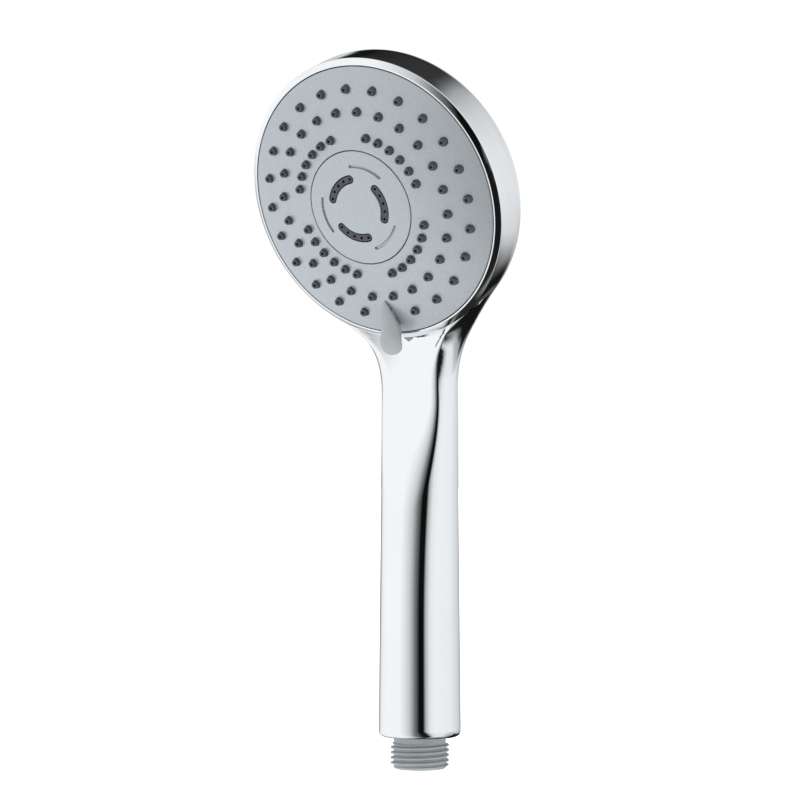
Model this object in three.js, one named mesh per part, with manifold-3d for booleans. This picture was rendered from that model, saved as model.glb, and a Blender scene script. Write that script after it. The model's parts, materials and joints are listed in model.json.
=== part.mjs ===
// A three-spray handheld shower head with a straight round handle.
//
// Millimetres. The origin is the centre of the inlet thread's end face, +Z runs up the handle
// and the spray face looks towards -Y, tilted down. The head's pieces sit in a group with its
// own frame: its origin is the middle of the outer nozzle ring, local +Z is the spray direction
// and local -Y is where the handle and the lever are.

import * as THREE from "three";
import { mergeVertices } from "three/addons/utils/BufferGeometryUtils.js";
import { ParametricGeometry } from "three/addons/geometries/ParametricGeometry.js";
import Module from "manifold-3d";

// ---------------------------------------------------------------- driving dimensions

const GAP = 0.3; // between neighbouring pieces

// Handle and inlet. The inlet is a G1/2 pipe thread.
const THREAD_RADIUS = 20.955 / 2;
const THREAD_ROOT_RADIUS = 18.631 / 2;
const THREAD_PITCH = 1.814;
const THREAD_LENGTH = 9.4;
const CONNECTOR_BORE = 6.5;
const CONNECTOR_FLANGE = 11.9;
const FLANGE_LOW = 12;
const CONNECTOR_TOP = 28;
const HANDLE_BOTTOM = 11.4;
const HANDLE_WAIST = 135; // below it the handle widens
const HANDLE_RADIUS = 13.4;
const HANDLE_TAPER = 0.0101; // millimetres of radius for each millimetre of length
const OVAL_START = 45; // above it the handle grows wider and flatter
const NECK_START = 140;
const NECK_TOP = 200;
const TUBE_RADIUS = 4.2;
const TUBE_BORE = 3;
const TUBE_LOW = 19;
const TUBE_TOP = 169.5;
const TUBE_OFFSET = 1.8; // the tube leans back this far where it enters the head
const RING_MINOR = 0.6; // section radius of the O-rings
const SEAL_MAJOR = TUBE_RADIUS + GAP + RING_MINOR;
const SOCKET_BORE = SEAL_MAJOR + RING_MINOR + GAP;
const SOCKET_RADIUS = SOCKET_BORE + 0.9;
const SOCKET_LOW = 163.5; // the valve base's socket, at the tube's upper end
const SOCKET_TOP = 175;

// Head.
const HEAD_CENTRE = new THREE.Vector3(0, -32.4, 200);
const HEAD_TILT = THREE.MathUtils.degToRad(19.9);
const HEAD_RADIUS = 51;
const BACK_DEPTH = 34.2;
const BACK_RADIUS = 100; // sphere of the back
const BACK_ROUNDING = 5; // between the back and the head's side
const SHELL_WALL = 2.2;
const RIM_FRONT = -10.4; // where the shell stops and the bezel begins
const SEAT_DEPTH = -12.2; // the step inside the rim that the bezel's skirt sits on
const SCOOP_START = 134; // the neck's flat front runs out below it and hollows out above it
const SCOOP_FRONT = -6.9;
const SCOOP_DISH = 0.0135;
const BLEND = 22.46; // reach of the blend between the handle and the head

// Spray face.
const DOME_RADIUS = 121.5;
const DOME_FRONT = 7.16;
const FACE_RADIUS = 48.3;
const FACE_WALL = 1.8;
const DISC_RADIUS = 20.35;
const MAT_WALL = 1.2;
const OUTER_RING = 41.1;
const MIDDLE_RING = 33.65;
const INNER_RING = 25.4;
const NOZZLE_RADIUS = 1.5;
const NOZZLE_TIP_RADIUS = 1.1;
const NOZZLE_HOLE = 1.9;
const NOZZLE_STANDS = 1.7; // above the plate
const JET_RING = 10.7; // radius of the massage outlets
const ARC_TURN = 22; // the first outlet's angle from the lever, in degrees
const ARC_SPREAD = 62; // angle that an outlet's five holes span
const ARC_HALF_WIDTH = 1.25;
const LEVER_UNDERSIDE = 1.4; // height of the lever's raised outer end
const LEVER_STEM = 3; // width of the stem under the lever

// Layers of the water way, as heights in the head's frame.
const FLOOR_TOP = -8;
const FLOOR_WALL = 1.6;
const GASKET_TOP = FLOOR_TOP - FLOOR_WALL - GAP;
const GASKET_WALL = 0.8;
const ROTOR_TOP = GASKET_TOP - GASKET_WALL - GAP;
const ROTOR_WALL = 2.2;
const BASE_TOP = ROTOR_TOP - ROTOR_WALL - GAP;
const BASE_WALL = 2.9;
const ROTOR_RADIUS = 38.5;
const POST_RADIUS = 4.4;
const POST_TOP = -4.9;
const PORT_RING = 14;
const INNER_PORT = 26;
const OUTER_PORT = 36;
const MODE_ANGLE = 35; // between one spray and the next, in degrees
const DETENT_RING = 26;
const SCREW_RING = 42.3;
const SCREW_ANGLES = [90, -25, -155];
const BOSS_RADIUS = 4;
const DUCT_RADIUS = 3.8; // from the tube's socket to the port
const DUCT_BORE = 2.4;

// Facets round a turned piece.
const FINE = 36;
const MEDIUM = 16;
const COARSE = 8;
const NOZZLE_SIDES = 5;

// ---------------------------------------------------------------- solids

const wasm = await Module();
wasm.setup();

// A closed three.js geometry as a manifold-3d solid, with its faces pointing out.
function solidOf(geometry) {
  const bare = geometry.clone();
  bare.deleteAttribute("normal");
  bare.deleteAttribute("uv");
  const merged = mergeVertices(bare, 1e-4);
  const corners = merged.index.array;
  const kept = [];
  for (let i = 0; i < corners.length; i += 3) {
    const [a, b, c] = [corners[i], corners[i + 1], corners[i + 2]];
    if (a !== b && b !== c && c !== a) kept.push(a, b, c);
  }
  const vertProperties = new Float32Array(merged.attributes.position.array);
  const build = (triangles) =>
    new wasm.Manifold(
      new wasm.Mesh({ numProp: 3, vertProperties, triVerts: new Uint32Array(triangles) }),
    );
  const made = build(kept);
  if (made.volume() > 0) return made;
  return build(kept.reverse());
}

function geometryOf(solid) {
  const mesh = solid.getMesh();
  const geometry = new THREE.BufferGeometry();
  geometry.setAttribute("position", new THREE.BufferAttribute(mesh.vertProperties, 3));
  geometry.setIndex(new THREE.BufferAttribute(mesh.triVerts, 1));
  geometry.computeVertexNormals();
  return geometry;
}

const join = (first, ...others) => others.reduce((whole, part) => whole.add(part), first);
const cut = (whole, ...tools) => tools.reduce((rest, tool) => rest.subtract(tool), whole);

// A profile of [radius, height] points turned about +Z.
function turnedShape(profile, segments = FINE) {
  const points = profile.map(([radius, height]) => new THREE.Vector2(radius, height));
  return new THREE.LatheGeometry(points, segments).rotateX(Math.PI / 2);
}

const turned = (profile, segments) => solidOf(turnedShape(profile, segments));

function rodShape(radius, low, high, segments = MEDIUM) {
  return turnedShape([[0, low], [radius, low], [radius, high], [0, high]], segments);
}

// A round bar with its axis along Z through x, y.
function rod(radius, low, high, x = 0, y = 0, segments = MEDIUM) {
  return solidOf(rodShape(radius, low, high, segments).translate(x, y, 0));
}

function ring(inner, outer, low, high, segments = FINE) {
  return turned([[inner, low], [outer, low], [outer, high], [inner, high], [inner, low]], segments);
}

// A straight bar between two points.
function bar(radius, from, to, segments = MEDIUM) {
  const along = new THREE.Vector3().subVectors(to, from);
  const shape = rodShape(radius, 0, along.length(), segments);
  const up = new THREE.Vector3(0, 0, 1);
  const turn = new THREE.Quaternion().setFromUnitVectors(up, along.normalize());
  return solidOf(shape.applyQuaternion(turn).translate(from.x, from.y, from.z));
}

function box(width, depth, low, high, x = 0, y = 0, turn = 0) {
  const shape = new THREE.BoxGeometry(width, depth, high - low);
  return solidOf(shape.translate(x, y, (low + high) / 2).rotateZ(turn));
}

function oRing(major, minor, height) {
  return solidOf(new THREE.TorusGeometry(major, minor, 5, MEDIUM).translate(0, 0, height));
}

// An outline from low to high.
function extruded(outline, low, high) {
  const settings = { depth: high - low, bevelEnabled: false, curveSegments: 4 };
  return new THREE.ExtrudeGeometry(outline, settings).translate(0, 0, low);
}

// A slot with round ends that follows an arc; angles are in degrees.
function arcSlot(radius, halfWidth, middle, spread, low, high) {
  const start = THREE.MathUtils.degToRad(middle - spread / 2);
  const end = THREE.MathUtils.degToRad(middle + spread / 2);
  const outline = new THREE.Shape();
  const roundEnd = (angle, from) => {
    const [x, y] = [radius * Math.cos(angle), radius * Math.sin(angle)];
    outline.absarc(x, y, halfWidth, from, from + Math.PI, false);
  };
  outline.absarc(0, 0, radius + halfWidth, start, end, false);
  roundEnd(end, end);
  outline.absarc(0, 0, radius - halfWidth, end, start, true);
  roundEnd(start, start + Math.PI);
  return solidOf(extruded(outline, low, high));
}

// A straight slot with round ends between two radii, pointing at an angle.
function radialSlot(halfWidth, inner, outer, degrees, low, high) {
  const outline = new THREE.Shape();
  outline.absarc(inner, 0, halfWidth, Math.PI / 2, (3 * Math.PI) / 2, false);
  outline.absarc(outer, 0, halfWidth, -Math.PI / 2, Math.PI / 2, false);
  return solidOf(extruded(outline, low, high).rotateZ(THREE.MathUtils.degToRad(degrees)));
}

class Helix extends THREE.Curve {
  constructor(radius, low, high, turns) {
    super();
    Object.assign(this, { radius, low, high, turns });
  }
  getPoint(t, target = new THREE.Vector3()) {
    const angle = t * this.turns * 2 * Math.PI;
    const height = this.low + t * (this.high - this.low);
    return target.set(this.radius * Math.cos(angle), this.radius * Math.sin(angle), height);
  }
}

function coilSpring(radius, wire, low, high, turns, x, y) {
  const section = new THREE.Shape().absarc(0, 0, wire, 0, 2 * Math.PI, false);
  const extrudePath = new Helix(radius, low + wire, high - wire, turns);
  const steps = turns * 8;
  return solidOf(
    new THREE.ExtrudeGeometry(section, { steps, extrudePath, curveSegments: 3 }).translate(x, y, 0),
  );
}

// ---------------------------------------------------------------- frames and shared shapes

const HEAD_TO_OBJECT = new THREE.Matrix4()
  .makeRotationX(Math.PI / 2 + HEAD_TILT)
  .setPosition(HEAD_CENTRE);
const OBJECT_TO_HEAD = HEAD_TO_OBJECT.clone().invert();

// A solid of one frame, given in the other.
const inObject = (solid) => solid.transform([...HEAD_TO_OBJECT.elements]);
const inHead = (solid) => solid.transform([...OBJECT_TO_HEAD.elements]);

// Height of the spray face's front at a radius.
const dome = (radius) => DOME_FRONT - DOME_RADIUS + Math.sqrt(DOME_RADIUS ** 2 - radius ** 2);

// Points along a surface parallel to the dome, from one radius to another.
function domeLine(from, to, below, steps = 2) {
  return Array.from({ length: steps + 1 }, (_, i) => {
    const radius = from + ((to - from) * i) / steps;
    return [radius, dome(radius) - below];
  });
}

const back = (radius) => BACK_RADIUS - BACK_DEPTH - Math.sqrt(BACK_RADIUS ** 2 - radius ** 2);

// A point of the head's frame at a radius and an angle from its +X.
function polar(radius, degrees) {
  const angle = THREE.MathUtils.degToRad(degrees);
  return [radius * Math.cos(angle), radius * Math.sin(angle)];
}

// Angle of the handle side in the head's frame.
const DOWN = -90;

// Ends of the valve base's duct, in the head's frame.
const DUCT_START = new THREE.Vector3(0, TUBE_OFFSET, 172.5).applyMatrix4(OBJECT_TO_HEAD);
const DUCT_END = new THREE.Vector3(0, -PORT_RING, -20);

// One bar at each of the screws that hold the valve base.
function rodsAtScrews(radius, low, high, segments) {
  return SCREW_ANGLES.map((degrees) => rod(radius, low, high, ...polar(SCREW_RING, degrees), segments));
}

// Places of the 71 nozzles: two even rings and an inner ring in four groups of six.
function nozzlePlaces() {
  const places = [];
  const outerCount = 24;
  for (let i = 0; i < outerCount; i++) {
    const step = (360 / outerCount) * i;
    if (i > 0) places.push([OUTER_RING, DOWN + step]); // the lever takes the first place
    places.push([MIDDLE_RING, DOWN + step + 180 / outerCount]);
  }
  const innerStep = 360 / 32;
  for (const group of [45, 135, 225, 315]) {
    for (let i = 0; i < 6; i++) places.push([INNER_RING, DOWN + group + innerStep * (i - 2.5)]);
  }
  return places;
}

// One closed prism for each nozzle, standing from below the plate's front to above it.
function nozzlePrisms(bottomRadius, topRadius, below, above) {
  return nozzlePlaces().map(([radius, degrees]) => {
    const [x, y] = polar(radius, degrees);
    const low = dome(radius) - below;
    const high = dome(radius) + above;
    const profile = [[0, low], [bottomRadius, low], [topRadius, high], [0, high]];
    return solidOf(turnedShape(profile, NOZZLE_SIDES).translate(x, y, 0));
  });
}

// ---------------------------------------------------------------- casing

// The casing's outside is one smooth skin, given as a field that is negative inside: a round
// handle that grows oval towards the head, blended with the head's drum and domed back.

function smoothMin(a, b, reach) {
  const share = THREE.MathUtils.clamp(0.5 + (0.5 * (b - a)) / reach, 0, 1);
  return THREE.MathUtils.lerp(b, a, share) - reach * share * (1 - share);
}

const smoothMax = (a, b, reach) => -smoothMin(-a, -b, reach);

// A curve that leaves zero at a height, passes one after a length and then levels off.
function rise(height, start, length, power, limit) {
  return smoothMin((Math.max(0, height - start) / length) ** power, limit, 0.5);
}

function handleField(point) {
  const radius = HANDLE_RADIUS + smoothMax(HANDLE_TAPER * (HANDLE_WAIST - point.z), 0, 0.4);
  const oval = rise(point.z, OVAL_START, 95, 2.5, 1.35);
  const neck = rise(point.z, NECK_START, 50, 2, 1.5);
  const wide = 1 + 0.36 * oval;
  const deep = 1 - 0.15 * oval;
  const evenView = THREE.MathUtils.degToRad(33.7); // the side on which the width stays even
  const even = Math.hypot(Math.cos(evenView) * wide, Math.sin(evenView) * deep);
  const across = point.x / (wide / even - 0.33 * neck);
  const through = (point.y + 3 * neck) / (deep / even - 0.1 * neck);
  return smoothMax(Math.hypot(across, through) - radius, point.z - NECK_TOP, 20);
}

function headField(point) {
  const local = point.clone().applyMatrix4(OBJECT_TO_HEAD);
  const radius = Math.hypot(local.x, local.y);
  const rear = Math.hypot(radius, local.z + BACK_DEPTH - BACK_RADIUS) - BACK_RADIUS;
  const drum = smoothMax(radius - HEAD_RADIUS, rear, BACK_ROUNDING);
  return smoothMax(drum, local.z + 6, 1);
}

// The neck's nearly flat front, which hollows out under the bezel: negative behind it.
function scoopField(point) {
  const below = Math.max(0, SCOOP_START - point.z);
  const above = Math.max(0, point.z - SCOOP_START);
  const front = SCOOP_FRONT - 0.007 * below ** 2 + 0.09 * above;
  const dish = SCOOP_DISH * (1 - Math.exp(-((above / 11) ** 2)));
  return front - dish * point.x ** 2 - point.y;
}

// The head's own part of the skin lies a little inside the turned cup that covers it.
const SKIN_INSET = 0.4;

function skinField(point) {
  const skin = smoothMin(handleField(point), headField(point) + SKIN_INSET, BLEND);
  const local = point.clone().applyMatrix4(OBJECT_TO_HEAD);
  if (Math.hypot(local.x, local.y) < HEAD_RADIUS || point.z > 168) return skin;
  return smoothMax(skin, scoopField(point), 0.5);
}

// Distance from the middle of a level section to the skin, at an angle.
function skinRadius(angle, middle, height) {
  const direction = new THREE.Vector3(Math.cos(angle), Math.sin(angle), 0);
  const centre = new THREE.Vector3(0, middle, height);
  const at = (distance) => skinField(direction.clone().multiplyScalar(distance).add(centre));
  let outside = 70;
  while (outside > 1 && at(outside - 1) > 0) outside -= 1;
  let inside = outside - 1;
  for (let i = 0; i < 12; i++) {
    const half = (inside + outside) / 2;
    if (at(half) > 0) outside = half;
    else inside = half;
  }
  return inside;
}

const SKIN_HEIGHTS = [
  HANDLE_BOTTOM, 50, 75, 95, 104, 113, 122, 132, 139, 145, 150, 155,
  160, 165, 170, 176, 182, 188, 194, 200, 207, 213, 219, 224,
];

// The skin as level sections stacked along Z, closed to a point at both ends.
function casingSkin(slices) {
  const rows = SKIN_HEIGHTS.length + 2;
  const place = (u, v, target) => {
    const row = Math.round(v * (rows - 1));
    const height = SKIN_HEIGHTS[THREE.MathUtils.clamp(row - 1, 0, rows - 3)];
    const middle = -3 - 0.4 * Math.max(0, height - 180);
    const angle = u * 2 * Math.PI;
    const reach = row === 0 || row === rows - 1 ? 0 : skinRadius(angle, middle, height);
    target.set(reach * Math.cos(angle), middle + reach * Math.sin(angle), height);
  };
  return solidOf(new ParametricGeometry(place, slices, rows - 1));
}

function chromeShell() {
  const cup = turned([
    [0, back(0)],
    ...[16, 28, 38, 46].map((radius) => [radius, back(radius)]),
    [49.2, back(49.2) + 0.8],
    [50.5, -19.2],
    [HEAD_RADIUS, -17.6],
    [HEAD_RADIUS, RIM_FRONT],
    [0, RIM_FRONT],
  ]);
  const wall = HEAD_RADIUS - SHELL_WALL;
  const cavity = turned([
    [0, back(0) + SHELL_WALL],
    ...[16, 28, 38].map((radius) => [radius, back(radius) + SHELL_WALL]),
    [45.5, back(45.5) + SHELL_WALL + 0.3],
    [wall, -17.6],
    [wall, SEAT_DEPTH],
    [wall + 0.8, SEAT_DEPTH],
    [wall + 0.8, 0],
    [0, 0],
  ]);
  const atScrews = (radius, low, high, segments) =>
    rodsAtScrews(radius, low, high, segments).map(inObject);
  const bossFoot = back(SCREW_RING + BOSS_RADIUS) + 0.8;
  const casing = join(casingSkin(32), inObject(cup));
  const hollow = cut(
    casing,
    inObject(rod(HEAD_RADIUS + GAP, RIM_FRONT, 40, 0, 0, FINE)),
    inObject(cavity),
    inObject(bar(DUCT_RADIUS + GAP, DUCT_START.clone().lerp(DUCT_END, -0.03), DUCT_END)),
    rod(CONNECTOR_FLANGE + GAP, 0, 16),
    rod(11.2, 15, 84),
    rod(8.2, 83, 114),
    rod(TUBE_RADIUS + 1.2, 112, 166, 0, TUBE_OFFSET),
    rod(SOCKET_RADIUS + GAP, 163, SOCKET_TOP + 1, 0, TUBE_OFFSET),
  );
  const bosses = atScrews(BOSS_RADIUS, bossFoot, BASE_TOP - BASE_WALL - GAP);
  return cut(join(hollow, ...bosses), ...atScrews(1.6, bossFoot + 0.6, 0, COARSE));
}

function bezelRing() {
  const inner = FACE_RADIUS + GAP;
  const skirt = HEAD_RADIUS - SHELL_WALL + 0.8 - GAP;
  return turned([
    [inner, -2.9],
    [inner + 0.55, -2.9],
    [HEAD_RADIUS, -4.4],
    [HEAD_RADIUS, RIM_FRONT + GAP],
    [skirt, RIM_FRONT + GAP],
    [skirt, SEAT_DEPTH + 2 * GAP],
    [inner, SEAT_DEPTH + 2 * GAP],
    [inner, -2.9],
  ]);
}

// ---------------------------------------------------------------- inlet

// Radius of the thread at an angle and a height: a rounded ridge that climbs one pitch a turn.
function threadRadius(angle, height) {
  const depth = THREAD_RADIUS - THREAD_ROOT_RADIUS;
  const phase = height / THREAD_PITCH - angle / (2 * Math.PI);
  const wave = 1 - Math.abs(2 * (phase - Math.floor(phase)) - 1);
  const ridge = THREE.MathUtils.clamp(wave * 1.6 - 0.3, 0, 1);
  const fadeIn = THREE.MathUtils.clamp((height - 0.5) / 0.9, 0, 1);
  const fadeOut = THREE.MathUtils.clamp((THREAD_LENGTH - height) / 0.9, 0, 1);
  return THREAD_ROOT_RADIUS + depth * ridge * fadeIn * fadeOut;
}

function inletConnector() {
  const rows = 21;
  const threadRows = Array.from({ length: rows }, (_, i) => [
    THREAD_ROOT_RADIUS,
    0.5 + ((THREAD_LENGTH - 0.5) * i) / (rows - 1),
  ]);
  const shape = turnedShape([
    [0, 0],
    [THREAD_ROOT_RADIUS - 0.5, 0],
    ...threadRows,
    [THREAD_ROOT_RADIUS, FLANGE_LOW],
    [CONNECTOR_FLANGE, FLANGE_LOW],
    [CONNECTOR_FLANGE, 15.6],
    [SOCKET_RADIUS, 15.6],
    [SOCKET_RADIUS, CONNECTOR_TOP],
    [0, CONNECTOR_TOP],
  ], 24);
  const points = shape.attributes.position;
  for (let i = 0; i < points.count; i++) {
    const [x, y, z] = [points.getX(i), points.getY(i), points.getZ(i)];
    const radius = Math.hypot(x, y);
    if (Math.abs(radius - THREAD_ROOT_RADIUS) > 1e-3 || z > THREAD_LENGTH) continue;
    const scale = threadRadius(Math.atan2(y, x), z) / radius;
    points.setXY(i, x * scale, y * scale);
  }
  return cut(
    solidOf(shape),
    rod(CONNECTOR_BORE, -1, 11),
    rod(3.6, 10, 18),
    rod(SOCKET_BORE, 17, CONNECTOR_TOP + 1),
  );
}

function inletStrainer() {
  const rim = ring(CONNECTOR_BORE - 1.5, CONNECTOR_BORE - GAP, 5, 6.4, MEDIUM);
  const barWidth = 0.6;
  const barLength = 10.8;
  const bars = [-1.6, 1.6].flatMap((offset) => [
    box(barWidth, barLength, 5.4, 6, offset, 0),
    box(barLength, barWidth, 5.4, 6, 0, offset),
  ]);
  return join(rim, ...bars);
}

function flowRestrictor() {
  const holes = [0, 60, 120, 180, 240, 300].map((degrees) => {
    const [x, y] = polar(3.4, degrees);
    return rod(0.9, 6, 11, x, y, 6);
  });
  return cut(rod(CONNECTOR_BORE - GAP, 7, 9.6), ...holes, rod(0.9, 6, 11, 0, 0, 6));
}

function waterTube() {
  const section = new THREE.Shape().absarc(0, 0, TUBE_RADIUS, 0, 2 * Math.PI, false);
  section.holes.push(new THREE.Path().absarc(0, 0, TUBE_BORE, 0, 2 * Math.PI, true));
  const route = [
    [0, TUBE_LOW], [0, 60], [0, 92], [1, 114], [1.7, 132], [TUBE_OFFSET, 150], [TUBE_OFFSET, TUBE_TOP],
  ];
  const extrudePath = new THREE.CatmullRomCurve3(route.map(([y, z]) => new THREE.Vector3(0, y, z)));
  const shape = new THREE.ExtrudeGeometry(section, { steps: 12, extrudePath, curveSegments: 7 });
  return solidOf(shape);
}

const tubeSealLower = () => oRing(SEAL_MAJOR, RING_MINOR, 24);
const tubeSealUpper = () => solidOf(
  new THREE.TorusGeometry(SEAL_MAJOR, RING_MINOR, 5, MEDIUM).translate(0, TUBE_OFFSET, 167),
);

// ---------------------------------------------------------------- fixed valve base

const PORT_POCKET = 4.6;
const PORT_FLOOR = -24;
const DETENT_POCKET = 2.9;
const DETENT_FLOOR = -22.9;
const INSERT_RADIUS = 3;

function valveBase() {
  const low = BASE_TOP - BASE_WALL;
  const atTube = (radius, bottom, top) => inHead(rod(radius, bottom, top, 0, TUBE_OFFSET));
  const body = join(
    rod(ROTOR_RADIUS, low, BASE_TOP, 0, 0, FINE),
    ...rodsAtScrews(BOSS_RADIUS, low, BASE_TOP),
    rod(POST_RADIUS, low, POST_TOP),
    rod(PORT_POCKET + 1.6, PORT_FLOOR - 1.5, BASE_TOP, 0, -PORT_RING),
    rod(DETENT_POCKET + 1.4, DETENT_FLOOR - 1.2, BASE_TOP, 0, DETENT_RING),
    atTube(SOCKET_RADIUS, SOCKET_LOW, SOCKET_TOP),
    bar(DUCT_RADIUS, DUCT_START, DUCT_END),
  );
  return cut(
    body,
    ...rodsAtScrews(1.7, low - 1, BASE_TOP + 1, COARSE),
    rod(INSERT_RADIUS + GAP, -13.7, POST_TOP + 1),
    rod(PORT_POCKET, PORT_FLOOR, BASE_TOP + 1, 0, -PORT_RING),
    rod(DETENT_POCKET, DETENT_FLOOR, BASE_TOP + 1, 0, DETENT_RING),
    atTube(SOCKET_BORE, SOCKET_LOW - 1, 170.5),
    atTube(4, 170, 174.5),
    bar(DUCT_BORE, DUCT_START, DUCT_END, COARSE),
    ring(POST_RADIUS + 2.2, 60, BASE_TOP, POST_TOP + 1),
  );
}

function crossScrew(headRadius, headHeight, shankRadius, length) {
  const shape = turned([
    [0, -length],
    [shankRadius * 0.6, -length],
    [shankRadius, -length + 1],
    [shankRadius, 0],
    [headRadius, 0],
    [headRadius, headHeight * 0.5],
    [headRadius * 0.75, headHeight],
    [0, headHeight],
  ], COARSE);
  const slot = headRadius * 1.1;
  const low = headHeight * 0.45;
  return cut(shape, box(slot, 0.7, low, headHeight + 1), box(0.7, slot, low, headHeight + 1));
}

const baseScrew = () => crossScrew(2.8, 1.8, 1.3, 6.2);
const centreScrew = () => crossScrew(3.8, 2.1, 1.9, 9);
const screwWasher = () => ring(2.2, 4.2, -2.8, -2.2, MEDIUM);

function postInsert() {
  const knurl = Array.from({ length: 8 }, (_, i) => box(0.5, 7, -14, -4, 0, 6.2, (i * Math.PI) / 4));
  return cut(ring(2.2, INSERT_RADIUS, -13.2, POST_TOP - 0.2, 16), ...knurl);
}

const postSeal = () => oRing(POST_RADIUS + GAP + RING_MINOR, RING_MINOR, ROTOR_TOP - ROTOR_WALL / 2);

function portSeal() {
  return solidOf(turnedShape([
    [2.2, BASE_TOP - 3.6],
    [4.2, BASE_TOP - 3.6],
    [4.2, BASE_TOP - 1],
    [3.8, BASE_TOP],
    [2.9, BASE_TOP],
    [2.2, BASE_TOP - 0.7],
    [2.2, BASE_TOP - 3.6],
  ], MEDIUM).translate(0, -PORT_RING, 0));
}

const portSpring = () =>
  coilSpring(3.5, 0.4, PORT_FLOOR + GAP, BASE_TOP - 3.6 - GAP - 0.6, 4, 0, -PORT_RING);

function detentPlunger() {
  return solidOf(turnedShape([
    [0, -14.8],
    [1.8, -14.8],
    [1.8, -18.6],
    [2.5, -18.6],
    [2.5, -14.4],
    [1.9, -13.4],
    [1, -13],
    [0, -12.9],
  ], 16).translate(0, DETENT_RING, 0));
}

const detentSpring = () => coilSpring(1.25, 0.28, DETENT_FLOOR + GAP, -15.9, 5, 0, DETENT_RING);

// ---------------------------------------------------------------- rotating spray group

function facePlate() {
  const hole = DISC_RADIUS + GAP;
  const rim = FACE_RADIUS - 1.4;
  const plate = turned([
    ...domeLine(hole, FACE_RADIUS, 0),
    [FACE_RADIUS, -9],
    [rim, -9],
    ...domeLine(rim, hole, FACE_WALL),
    [hole, dome(hole)],
  ]);
  const slot = box(LEVER_STEM + 2 * GAP, LEVER_STEM + 1 + 2 * GAP, -9, 12, 0, -OUTER_RING);
  return cut(plate, slot, ...nozzlePrisms(NOZZLE_HOLE, NOZZLE_HOLE, FACE_WALL + 1, 1));
}

// Half width and top of the thumb lever at each distance from the head's middle.
const LEVER_SECTIONS = [
  { out: 35.3, width: 0.5, top: 2.5 },
  { out: 38, width: 1.6, top: 3 },
  { out: 41, width: 2.6, top: 3.8 },
  { out: 44.5, width: 3.6, top: 4.6 },
  { out: 48, width: 4.3, top: 5.2 },
  { out: 51, width: 4.3, top: 5.5 },
  { out: 53.2, width: 3.2, top: 5.2 },
  { out: 54.6, width: 1.2, top: 4.4 },
];

// The lever's inner end lies on the face, and from there its underside rises.
function leverUnderside(out) {
  const lifted = THREE.MathUtils.smoothstep(out, 44.5, 50.5);
  return THREE.MathUtils.lerp(dome(Math.min(out, FACE_RADIUS)) + GAP, LEVER_UNDERSIDE, lifted);
}

function selectorLever() {
  const rows = LEVER_SECTIONS.length + 2;
  const slices = 12;
  const place = (u, v, target) => {
    const row = Math.round(v * (rows - 1));
    const { out, width, top } = LEVER_SECTIONS[THREE.MathUtils.clamp(row - 1, 0, rows - 3)];
    const scale = row === 0 || row === rows - 1 ? 0 : 1;
    const low = leverUnderside(out);
    const middle = low + 0.55 * (top - low);
    const angle = u * 2 * Math.PI;
    const bulge = Math.sign(Math.sin(angle)) * Math.abs(Math.sin(angle)) ** 0.7;
    const height = middle + scale * bulge * (bulge > 0 ? top - middle : middle - low);
    target.set(scale * width * Math.cos(angle), -out, height);
  };
  const blade = solidOf(new ParametricGeometry(place, slices, rows - 1));
  const stem = box(LEVER_STEM, LEVER_STEM + 1, dome(OUTER_RING) - 1, 3, 0, -OUTER_RING);
  return join(blade, stem);
}

function nozzleMat() {
  const inner = 22.9;
  const outer = 45.6;
  const front = FACE_WALL + GAP;
  const mat = turned([
    ...domeLine(inner, outer, front),
    ...domeLine(outer, inner, front + MAT_WALL),
    [inner, dome(inner) - front],
  ], 24);
  const depth = front + MAT_WALL / 2;
  return join(mat, ...nozzlePrisms(NOZZLE_RADIUS, NOZZLE_TIP_RADIUS, depth, NOZZLE_STANDS));
}

// Body with a floor and ring walls that part the water of the three sprays.
function sprayChamber() {
  const under = FACE_WALL + MAT_WALL + 3 * GAP;
  const bottom = FLOOR_TOP - FLOOR_WALL;
  const wallTop = (radius) => dome(radius) - under;
  const body = turned([
    [POST_RADIUS + GAP, bottom],
    [46.3, bottom],
    [46.3, wallTop(46.3)],
    [45, wallTop(46.3)],
    [45, FLOOR_TOP],
    [30.4, FLOOR_TOP],
    [30.4, wallTop(30.4)],
    [29, wallTop(30.4)],
    [29, FLOOR_TOP],
    [22.6, FLOOR_TOP],
    [22.6, wallTop(22.9)],
    [21.2, wallTop(22.9)],
    [21.2, FLOOR_TOP],
    [6.5, FLOOR_TOP],
    [6.5, 0.9],
    [4.6, 0.9],
    [4.6, -3.1],
    [2.3, -3.1],
    [2.3, POST_TOP + GAP],
    [POST_RADIUS + GAP, POST_TOP + GAP],
    [POST_RADIUS + GAP, bottom],
  ], 30);
  return cut(
    body,
    radialSlot(2, OUTER_PORT - 1, OUTER_PORT + 1, DOWN, -12, 0),
    radialSlot(2, PORT_RING - 1, PORT_RING + 1, DOWN + MODE_ANGLE, -12, 0),
    radialSlot(1.8, INNER_PORT - 0.5, INNER_PORT + 0.5, DOWN - MODE_ANGLE, -12, 0),
  );
}

// The way of each spray's water from the shared port to its own chamber.
const CHANNELS = [
  { degrees: DOWN, reach: OUTER_PORT },
  { degrees: DOWN + MODE_ANGLE, reach: PORT_RING + 1 },
  { degrees: DOWN - MODE_ANGLE, reach: INNER_PORT },
];

function chamberGasket() {
  const low = GASKET_TOP - GASKET_WALL;
  const windows = CHANNELS.map(({ degrees, reach }) =>
    radialSlot(2.4, PORT_RING, reach, degrees, low - 1, GASKET_TOP + 1));
  return cut(ring(6.6, ROTOR_RADIUS, low, GASKET_TOP), ...windows);
}

// A conical click pocket in the roof of the detent track.
function clickPocket(degrees, roof) {
  const profile = [[0, roof - 1], [2, roof - 1], [2, roof], [1, roof + 0.4], [0, roof + 0.4]];
  const [x, y] = polar(DETENT_RING, degrees);
  return solidOf(turnedShape(profile, COARSE).translate(x, y, 0));
}

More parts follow.
